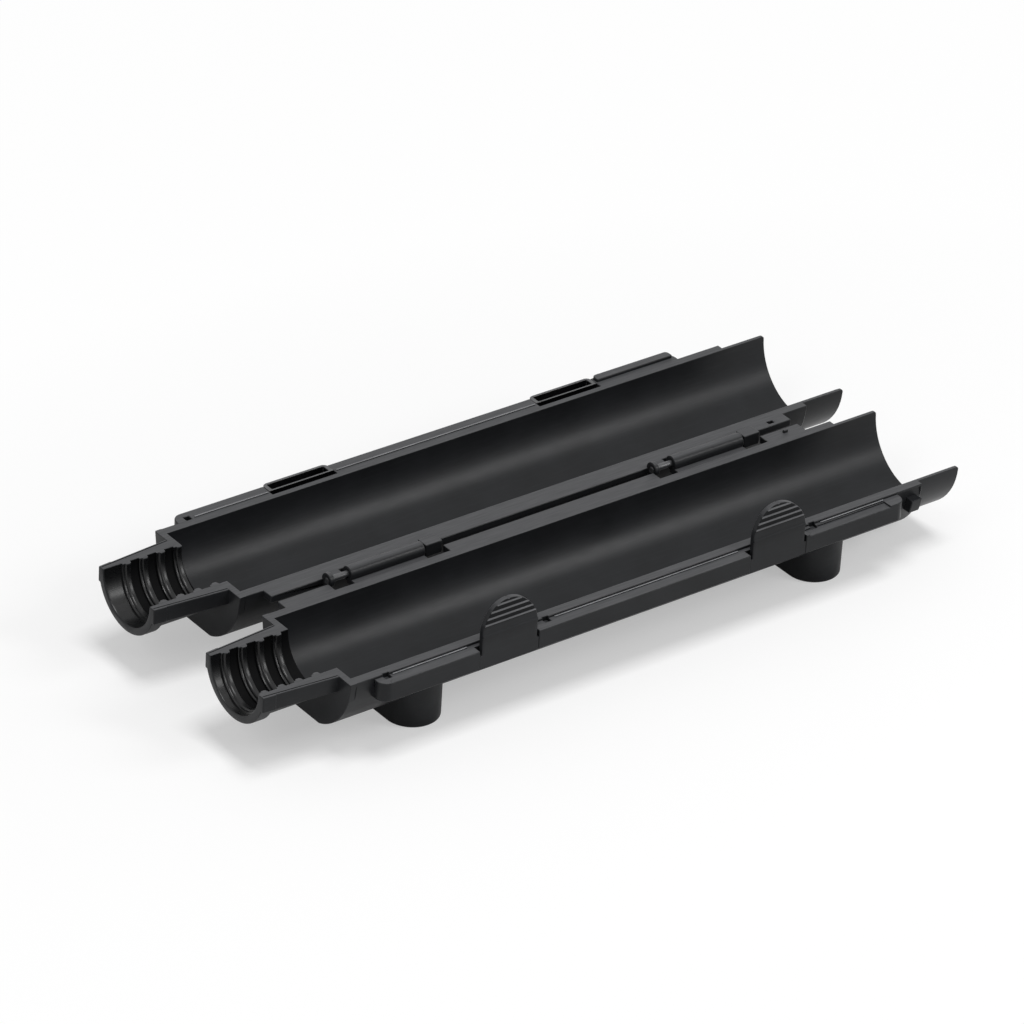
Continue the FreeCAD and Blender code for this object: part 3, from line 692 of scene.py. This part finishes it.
def neck_shell(side):
    """A half neck and its shoulder plate as closed rings along x, each an outline and then the bore back
    again. Two rings stand where the neck meets the plate, and the face of the plate spans them. The outside
    of both draws in at their first edge, and the bore only at the mouth."""
    s = shape()
    plate_start = PLATE_END - s.shoulder_wall
    runs = ((MOUTH_X, plate_start, 2*s.neck_edge, neck_outline, 1),
            (plate_start, PLATE_END, s.neck_edge, plate_outline, 0))
    rows = []
    for low, high, clear, outline, bore_share in runs:
        x = stations(low, high, clear)
        inset = inset_at(x, low)
        outside = np.stack(np.broadcast_arrays(x[:, None], *outline(x, inset)), axis=-1)
        bore = np.stack(bore_outline(x, bore_share*inset, side), axis=-1)
        rows.append(np.hstack([outside, bore]))
    points = np.concatenate(rows)
    points[..., 1], points[..., 2] = across_axis(side, points[..., 1], points[..., 2])
    return points, capped(*points.shape[:2])


def dress_bore(mesh, side):
    """Gives the faces inside a neck their materials: the glossier one on the crests and in the mouth in
    front of the first one, and painted shade in the roots of the thread and behind the last crest."""
    for kind in ("polished", "dull"):
        mesh.materials.append(bore_plastic(kind))
    s = shape()
    x, y, z = face_centres(mesh)
    axis_y, axis_z = across_axis(side, 0, 0)
    near_axis = np.hypot(y - axis_y, z - axis_z) < s.neck_bore + ROOT_MARGIN
    inside = near_axis & (z < axis_z - RIM_MARGIN) & (x > MOUTH_X + MOUTH_MARGIN)
    turn = np.arctan2(axis_z - z, side*(axis_y - y))
    raised = thread_height(x, turn, side) > POLISHED*s.thread_depth
    mouth = x < MOUTH_X + s.thread_start - s.crest_width/2 + climb(turn, side)
    # painted shade in the roots of the thread
    dress_faces(mesh, np.where(inside, np.where(raised | mouth, 1, 2), 0))


class RICEMOULD_OT_necks(bpy.types.Operator):
    """Half necks with their thread, side walls and shoulder plate"""
    bl_idname = "rice_mould.necks"
    bl_label = "Necks"

    def execute(self, context):
        for name, side in SIDES.items():
            mesh = make_mesh(f"{name}_half_neck", [neck_shell(side)], plastic(SATIN), smooth_degrees=18)
            dress_bore(mesh, side)
            place(f"{name}_half_neck", mesh, f"{name}_neck")
        return {"FINISHED"}


# ------ feet

FOOT_POINTS, FOOT_RINGS = 96, 8  # points round a foot, and rings up its side and over its top
FOOT_EYE = 0.03  # size of the innermost ring of the top, as a share of the foot


def foot_shell(node_name):
    """A post: rings of two half circles joined by straight sides, carried up from the floor, drawn in there
    by a quarter circle, and closed by rings that shrink along the round underside of the jacket."""
    low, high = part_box(node_name)
    edge = shape().foot_edge
    middle, radius = (low + high)/2, (high.x - low.x)/2
    straight = (high.y - low.y)/2 - radius
    turn, curve = full_turn(FOOT_POINTS), quarter(5)
    shift = np.where(np.sin(turn) >= 0, straight, -straight)
    rise, shrink = np.linspace(0, 1, FOOT_RINGS + 1)[1:], np.linspace(1, FOOT_EYE, FOOT_RINGS + 1)[1:]
    above = 0*np.hstack([rise, shrink])
    inset = np.hstack([edge*(1 - np.sin(curve)), above])[:, None]
    scale = np.hstack([0*curve + 1, 0*rise + 1, shrink])[:, None]
    share = np.hstack([0*curve, rise, 0*shrink + 1])[:, None]
    floor = low.z + np.hstack([edge*(1 - np.cos(curve)), above + edge])[:, None]
    x = middle.x + scale*(radius - inset)*np.cos(turn)
    y = middle.y + scale*(shift + (radius - inset)*np.sin(turn))
    depth = np.minimum(np.sqrt(np.maximum(BARREL_RADIUS**2 - (y - middle.y)**2, 0)), KEEL_DEPTH)
    z = floor*(1 - share) + (RIM_Z - depth)*share
    return np.stack([x, y, z], axis=-1), capped(*x.shape)


class RICEMOULD_OT_feet(bpy.types.Operator):
    """The four posts that the mould stands on"""
    bl_idname = "rice_mould.feet"
    bl_label = "Feet"

    def execute(self, context):
        for side in SIDES:
            for end in ENDS:
                node_name = f"{side}_foot_{end}"
                name = f"{side}_post_{end}"
                mesh = make_mesh(name, [foot_shell(node_name)], plastic(SATIN))
                place(name, mesh, node_name)
        return {"FINISHED"}


# ------ hinge pins

PIN_POINTS = 40  # points round a pin
PIN_TIP = 0.4  # rounding of the tips of a pin, as a share of its radius


def pin_shell(node_name):
    """A round pin: a profile of radius over length, rounded by a quarter circle at both tips, turned about
    the hinge line."""
    low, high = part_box(node_name)
    radius = (high.z - low.z)/2
    tip = PIN_TIP*radius
    turn, curve = full_turn(PIN_POINTS), quarter(6)
    back, out = tip*(1 - np.cos(curve)), tip*np.sin(curve)
    x = np.hstack([low.x + back, high.x - back[::-1]])[:, None]
    reach = radius - tip + np.hstack([out, out[::-1]])[:, None]
    y = (low.y + high.y)/2 + reach*np.cos(turn)
    z = (low.z + high.z)/2 + reach*np.sin(turn)
    return np.stack(np.broadcast_arrays(x, y, z), axis=-1), capped(*y.shape)


class RICEMOULD_OT_pins(bpy.types.Operator):
    """The two hinge pins"""
    bl_idname = "rice_mould.pins"
    bl_label = "Hinge pins"

    def execute(self, context):
        for end in ENDS:
            mesh = make_mesh(f"pin_{end}", [pin_shell(f"hinge_pin_{end}")], plastic(PIN))
            place(f"pin_{end}", mesh, f"hinge_pin_{end}")
        return {"FINISHED"}


# ------ spring tabs

RIBS = 4  # grip ribs of a tab
HOOK_FULL, HOOK_SLOPE = 0.14, 0.4  # shares of the hook's rise where it is full and where it slopes back
SLIT_SPREAD = 0.3*MM  # height over which the foot of a tab spreads into its slits
ROOT_FRONT = 0.2  # how far the root's front reaches below its middle, as a share of its radius
HOOK_ROWS = np.array([0, 0.06, HOOK_FULL, HOOK_SLOPE, 0.7, 1])  # rows over the hook, in its rises
RIB_ROWS = np.array([-0.6, -0.5, -0.46, -0.35, -0.18, 0, 0.18, 0.35, 0.46, 0.5, 0.6])  # and in rib widths
SLIT_ROWS = np.array([0, 0.1, 0.2, 0.3])*MM  # rows over that spread
TOP_ROWS = np.radians(np.linspace(4, 88.5, 22))  # rows of the round top of a tab, as angles


def rib_heights():
    """Heights of the middles of the grip ribs."""
    s = shape()
    return RIM_Z + s.rib_start + s.rib_pitch*np.arange(RIBS)


def tab_rows(low, high, edge):
    """The rows of a tab from its root up, as heights and as angles in the round top: even rows, with more of
    them about the foot of the slits, the hook and each rib."""
    s = shape()
    radius = (high.x - low.x)/2
    shoulder = high.z - radius
    reach = radius - edge
    hook = RIM_Z + s.hook_bottom + s.hook_rise*HOOK_ROWS
    ribs = (rib_heights()[:, None] + s.rib_width*RIB_ROWS).ravel()
    even = np.linspace(low.z + s.root_radius, shoulder, 12)
    heights = np.hstack([even, RIM_Z - s.slit_depth + SLIT_ROWS, hook])
    heights = np.unique(heights[heights <= shoulder])
    over = np.hstack([ribs, hook, shoulder + reach*np.sin(TOP_ROWS)])
    over = np.unique(over[(over > shoulder + 0.05*MM) & (over < shoulder + 0.9998*reach)])
    angles = np.hstack([0*heights, np.arcsin((over - shoulder)/reach)])
    return np.hstack([heights, 0*over + shoulder]), angles


def tab_relief(z):
    """How far the outer face stands out at each height: rounded ribs, and a soft hook that is steep below
    and slopes back above."""
    s = shape()
    ribs = mound(z[..., None] - rib_heights(), -s.rib_width/2, s.rib_width/2).max(axis=-1)
    up = (z - RIM_Z - s.hook_bottom)/s.hook_rise
    hook = smooth_step(up/HOOK_FULL)*(1 - smooth_step((up - HOOK_SLOPE)/(1 - HOOK_SLOPE)))
    return s.rib_height*ribs + s.hook_swell*hook


def tab_section(thickness, edge):
    """One ring round a tab, seen from above: along the outer face, round the edge by quarter circles, and
    back along the inner face. Returns the share of the half width, the inset from the outline, the depth
    behind the outer face, and one where the relief shows."""
    share, turn = np.linspace(-1, 1, 25), quarter(5)[1:]
    back, out = edge*(1 - np.cos(turn)), edge*(1 - np.sin(turn))
    inset, depth = np.hstack([out, back]), np.hstack([back, thickness - out])
    flat = np.full(len(share), edge)
    side = np.ones(len(inset))
    shows = np.repeat([1.0, 0.0], len(turn))
    return (np.hstack([share, side, share[::-1][1:], -side[:-1]]),
            np.hstack([flat, inset, flat[1:], inset[::-1][1:]]),
            np.hstack([0*flat, depth, 0*flat[1:] + thickness, depth[::-1][1:]]),
            np.hstack([0*flat + 1, shows, 0*flat[1:], shows[::-1][1:]]))


def face_radius(low):
    """Radius of a tab's outer face about the hinge line, from the reach of its hook."""
    s = shape()
    return math.hypot(HINGE_Y - low.y, RIM_Z + s.hook_bottom - HINGE_Z) - s.hook_height


def tab_shell(node_name):
    """A plate bent about the hinge line: rings stacked from its root to its round top. A point of a ring
    lies on the outline drawn in by its inset, so that the edge stays round over the top. Above the hinge
    line it lies on a circle about that line, whose radius is the face's, plus the relief, less its depth,
    and below it the plate hangs straight."""
    low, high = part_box(node_name)
    s = shape()
    base, angles = tab_rows(low, high, s.tab_edge)
    share, inset, depth, shows = tab_section(s.tab_thickness, s.tab_edge)
    reach = (high.x - low.x)/2 - inset
    z = base[:, None] + reach*np.sin(angles)[:, None]
    foot = 1 - smooth_step((z - RIM_Z + s.slit_depth)/SLIT_SPREAD)
    x = (low.x + high.x)/2 + share*(reach*np.cos(angles)[:, None] + (s.slit_fill + inset)*foot)
    radius = face_radius(low) + shows*tab_relief(z) - depth
    y = HINGE_Y - np.sqrt(radius**2 - np.maximum(z - HINGE_Z, 0)**2)
    return np.stack([x, y, z], axis=-1), capped(*x.shape)


def root_shell(node_name):
    """The rounded bar at the root of a tab, carried along x: three quarters of a circle that lie in the
    groove, and a flat quarter of an ellipse in front, level with the wall beside the tab."""
    low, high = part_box(node_name)
    radius = shape().root_radius
    y, z = HINGE_Y - face_radius(low) + radius, low.z + radius
    turn, front = np.linspace(math.pi, -math.pi/2, 25), np.linspace(-math.pi/2, -math.pi, 6)
    across = radius*np.hstack([np.cos(turn), np.cos(front)])[:-1]
    rise = radius*np.hstack([np.sin(turn), ROOT_FRONT*np.sin(front)])[:-1]
    x = np.array([low.x, high.x])[:, None]
    points = np.stack(np.broadcast_arrays(x, y + across, z + rise), axis=-1)
    return points, capped(*points.shape[:2])


def dress_grip(mesh, low):
    """Paints light on the ribbed end of a tab: a painted highlight, a paler tone, on the tops of the ribs,
    and painted shade, a darker tone, in the hollows between them.
    """
    for kind in ("worn", "hollow"):
        mesh.materials.append(painted_light_plastic(kind))
    s = shape()
    y, z = face_centres(mesh)[1:]
    depth = face_radius(low) - np.hypot(y - HINGE_Y, np.maximum(z - HINGE_Z, 0))
    ribbed = (z - RIM_Z > s.rib_start - 0.9*s.rib_width) & (depth < 0.1*MM)
    # painted highlight on the rib tops, painted shade in the hollows between them
    dress_faces(mesh, np.where(ribbed, np.where(depth < -0.5*s.rib_height, 1, 2), 0))


class RICEMOULD_OT_tabs(bpy.types.Operator):
    """The two spring tabs with their ribs and hooks"""
    bl_idname = "rice_mould.tabs"
    bl_label = "Spring tabs"

    def execute(self, context):
        for end in ENDS:
            node_name = f"latch_{end}"
            shells = [tab_shell(node_name), root_shell(node_name)]
            mesh = make_mesh(f"tab_{end}", shells, plastic(SATIN), smooth_degrees=30)
            dress_grip(mesh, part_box(node_name)[0])
            place(f"tab_{end}", mesh, node_name)
        return {"FINISHED"}


# ------ catches

INNER_CORNER = 0.2*MM  # corners of a catch on its inner side
SLOT_CORNERS = (0.3*MM, 0.6*MM)  # corners of its slot on the inner and on the outer side


def ring_outline(low, high, inner, outer):
    """A rounded rectangle seen from above: four quarter circles, with one radius on its inner side and one
    on its outer side."""
    corners = np.array([(high[0] - outer, high[1] - outer, outer), (low[0] + outer, high[1] - outer, outer),
                        (low[0] + inner, low[1] + inner, inner), (high[0] - inner, low[1] + inner, inner)])
    x, y, radius = corners.T[:, :, None]
    turn = quarter(7) + math.pi/2*np.arange(4)[:, None]
    return np.stack([x + radius*np.cos(turn), y + radius*np.sin(turn)], axis=-1).reshape(-1, 2)


def catch_shell(node_name):
    """A slotted loop: a ring of sections, each with four corners, between the outline of the block and the
    outline of its slot."""
    low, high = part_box(node_name)
    s = shape()
    block = ring_outline(low, high, INNER_CORNER, s.catch_corner)
    slot_low = (low.x + s.catch_cheek, low.y + s.catch_wall)
    slot_high = (high.x - s.catch_cheek, high.y - s.catch_bar)
    slot = ring_outline(slot_low, slot_high, *SLOT_CORNERS)
    rings = [(block, low.z), (block, high.z), (slot, high.z), (slot, low.z)]
    points = np.stack([np.column_stack([outline, np.full(len(outline), z)]) for outline, z in rings], axis=1)
    return points, grid_faces(len(block), len(rings), ring_rows=True).tolist()


class RICEMOULD_OT_catches(bpy.types.Operator):
    """The two glossy catches that take the tabs"""
    bl_idname = "rice_mould.catches"
    bl_label = "Catches"

    def execute(self, context):
        for end in ENDS:
            node_name = f"catch_{end}"
            mesh = make_mesh(f"loop_{end}", [catch_shell(node_name)], plastic(GLOSS))
            round_off(place(f"loop_{end}", mesh, node_name), shape().small_edge)
        return {"FINISHED"}


# ------ stage

FLOOR_RADIUS = 4.0
NEAR, FAR = 0.09, 0.22  # distances between which the floor's share of plain white rises
ALONG = 0.6  # what a distance along the mould counts, against one across it
FLOOR_SHINE = 0.25  # how much of that share the object's reflections see
AIM = (0, 0, 0.02)  # where the lamps point
LAMPS = {  # size and spot of each lamp
    "key": (0.40, (0.66, -0.80, 0.76)),
    "side": (0.50, (-1.00, -0.40, 0.85)),
    "top": (1.50, (0.10, -0.75, 4.00)),
}


def white_share(tree, shine):
    """How white a backdrop looks to a ray: 1 from the camera, the shine in a reflection or through
    something clear, and 0 where it lights the object."""
    path = node(tree, "LightPath").outputs
    mirrored = calculate(tree, "ADD", path["Is Glossy Ray"], path["Is Transmission Ray"])
    return calculate(tree, "MULTIPLY_ADD", mirrored, shine, path["Is Camera Ray"], clamp=True)


def stage_material():
    """The floor and backdrop: pale, matt and faintly mottled. Plain white is mixed into what the camera
    sees of it, by a share that rises with the distance from the object, and less into reflections."""
    material, tree, shader = new_material("pale_floor_look")
    s = stage()
    mottle = noise(tree, object_space(tree), 3)
    tone = blend(tree, mottle, s.floor_colour, tinted(s.floor_colour, 0.995))
    tree.links.new(tone, shader.inputs["Base Color"])
    shader.inputs["Roughness"].default_value = 0.9
    shader.inputs["Specular IOR Level"].default_value = 0.1
    away = node(tree, "VectorMath", {0: object_space(tree, (ALONG, 1, 1))}, operation="LENGTH")
    lift = spread(tree, away.outputs["Value"], s.floor_lift, s.far_lift, NEAR, FAR)
    seen = calculate(tree, "MULTIPLY", white_share(tree, FLOOR_SHINE), lift)
    white = node(tree, "Emission", {"Color": (1, 1, 1, 1), "Strength": 1.0})
    mix = node(tree, "MixShader", {0: seen, 1: shader.outputs[0], 2: white.outputs[0]})
    tree.links.new(mix.outputs[0], tree.nodes["Material Output"].inputs["Surface"])
    return material


def lay_floor():
    """The floor: a wide flat disc of rings about the middle of the object."""
    turn = full_turn(96)
    reach = np.linspace(0.01, 1, 20)[:, None]*FLOOR_RADIUS
    points = np.stack(np.broadcast_arrays(reach*np.cos(turn), reach*np.sin(turn), 0), axis=-1)
    faces = grid_faces(len(reach), len(turn)).tolist() + [list(range(len(turn)))[::-1]]
    mesh = bpy.data.meshes.new("floor")
    mesh.from_pydata(points.reshape(-1, 3).tolist(), [], faces)
    mesh.materials.append(stage_material())
    floor = add_object("floor", mesh)


def add_lamp(name, watts, size, spot):
    """A square lamp at a spot, turned towards the aim."""
    lamp = bpy.data.lights.new(name, "AREA")
    lamp.energy, lamp.size = watts, size
    item = add_object(name, lamp)
    item.location = spot
    item.rotation_euler = (Vector(AIM) - Vector(spot)).to_track_quat("-Z", "Y").to_euler()


def add_camera():
    """The camera: round the aim point by azimuth and elevation, turned by its roll."""
    s = stage()
    out = Vector((math.sin(s.azimuth)*math.cos(s.elevation), -math.cos(s.azimuth)*math.cos(s.elevation),
                  math.sin(s.elevation)))
    level = Vector((math.cos(s.azimuth), math.sin(s.azimuth), 0))
    right = level*math.cos(s.roll) + out.cross(level)*math.sin(s.roll)
    pose = Matrix((right, out.cross(right), out)).transposed().to_4x4()
    pose.translation = Vector((MOUTH_X + s.aim_x, HINGE_Y + s.aim_y, RIM_Z)) + out*s.distance
    data = bpy.data.cameras.new("camera")
    data.lens, data.sensor_width, data.sensor_fit = s.lens, 36, "HORIZONTAL"
    item = add_object("camera", data)
    item.matrix_world = pose
    bpy.context.scene.camera = item


def light_world():
    """Even pale light from all sides, seen as white, also in what shines."""
    world = bpy.data.worlds.new("studio")
    bpy.context.scene.world = world
    world.use_nodes = True
    tree = world.node_tree
    light = tree.nodes["Background"]
    light.inputs["Color"].default_value = (1, 1, 1, 1)
    light.inputs["Strength"].default_value = stage().world_light
    white = node(tree, "Background", {"Color": (1, 1, 1, 1), "Strength": 1.0})
    mix = node(tree, "MixShader", {0: white_share(tree, 1), 1: light.outputs[0], 2: white.outputs[0]})
    tree.links.new(mix.outputs[0], tree.nodes["World Output"].inputs["Surface"])


class RICEMOULD_OT_stage(bpy.types.Operator):
    """The pale floor, the soft lamps and the camera"""
    bl_idname = "rice_mould.stage"
    bl_label = "Stage"

    def execute(self, context):
        lay_floor()
        light_world()
        for name, (size, spot) in LAMPS.items():
            add_lamp(name + "_lamp", getattr(stage(), name + "_power"), size, spot)
        add_camera()
        context.scene.view_settings.view_transform = "Standard"
        return {"FINISHED"}


# ------ panel and start

OPERATORS = (RICEMOULD_OT_troughs, RICEMOULD_OT_necks, RICEMOULD_OT_feet, RICEMOULD_OT_pins,
             RICEMOULD_OT_tabs, RICEMOULD_OT_catches, RICEMOULD_OT_stage)
SETTINGS = {"mould_shape": MouldShapeSettings, "mould_finish": MouldFinishSettings,
            "mould_stage": MouldStageSettings}


class RICEMOULD_PT_panel(bpy.types.Panel):
    """The pieces of the rice mould"""
    bl_idname = "RICEMOULD_PT_panel"
    bl_label = "Rice Mould"
    bl_space_type = "VIEW_3D"
    bl_region_type = "UI"
    bl_category = "Rice Mould"

    def draw(self, context):
        for operator in OPERATORS:
            self.layout.operator(operator.bl_idname)
        for group in SETTINGS:
            settings = getattr(context.scene, group)
            column = self.layout.box().column()
            for name in settings.bl_rna.properties.keys():
                if name not in ("name", "rna_type"):
                    column.prop(settings, name)


CLASSES = (*SETTINGS.values(), *OPERATORS, RICEMOULD_PT_panel)


def register():
    """Adds the classes and their settings to Blender."""
    for item in CLASSES:
        bpy.utils.register_class(item)
    for name, group in SETTINGS.items():
        setattr(bpy.types.Scene, name, bpy.props.PointerProperty(type=group))


def unregister():
    """Takes the classes and their settings out again."""
    for name in SETTINGS:
        delattr(bpy.types.Scene, name)
    for item in reversed(CLASSES):
        bpy.utils.unregister_class(item)


def main():
    """Builds every piece and the stage."""
    register()
    for operator in OPERATORS:
        group, name = operator.bl_idname.split(".")
        getattr(getattr(bpy.ops, group), name)()


if __name__ == "__main__":
    main()
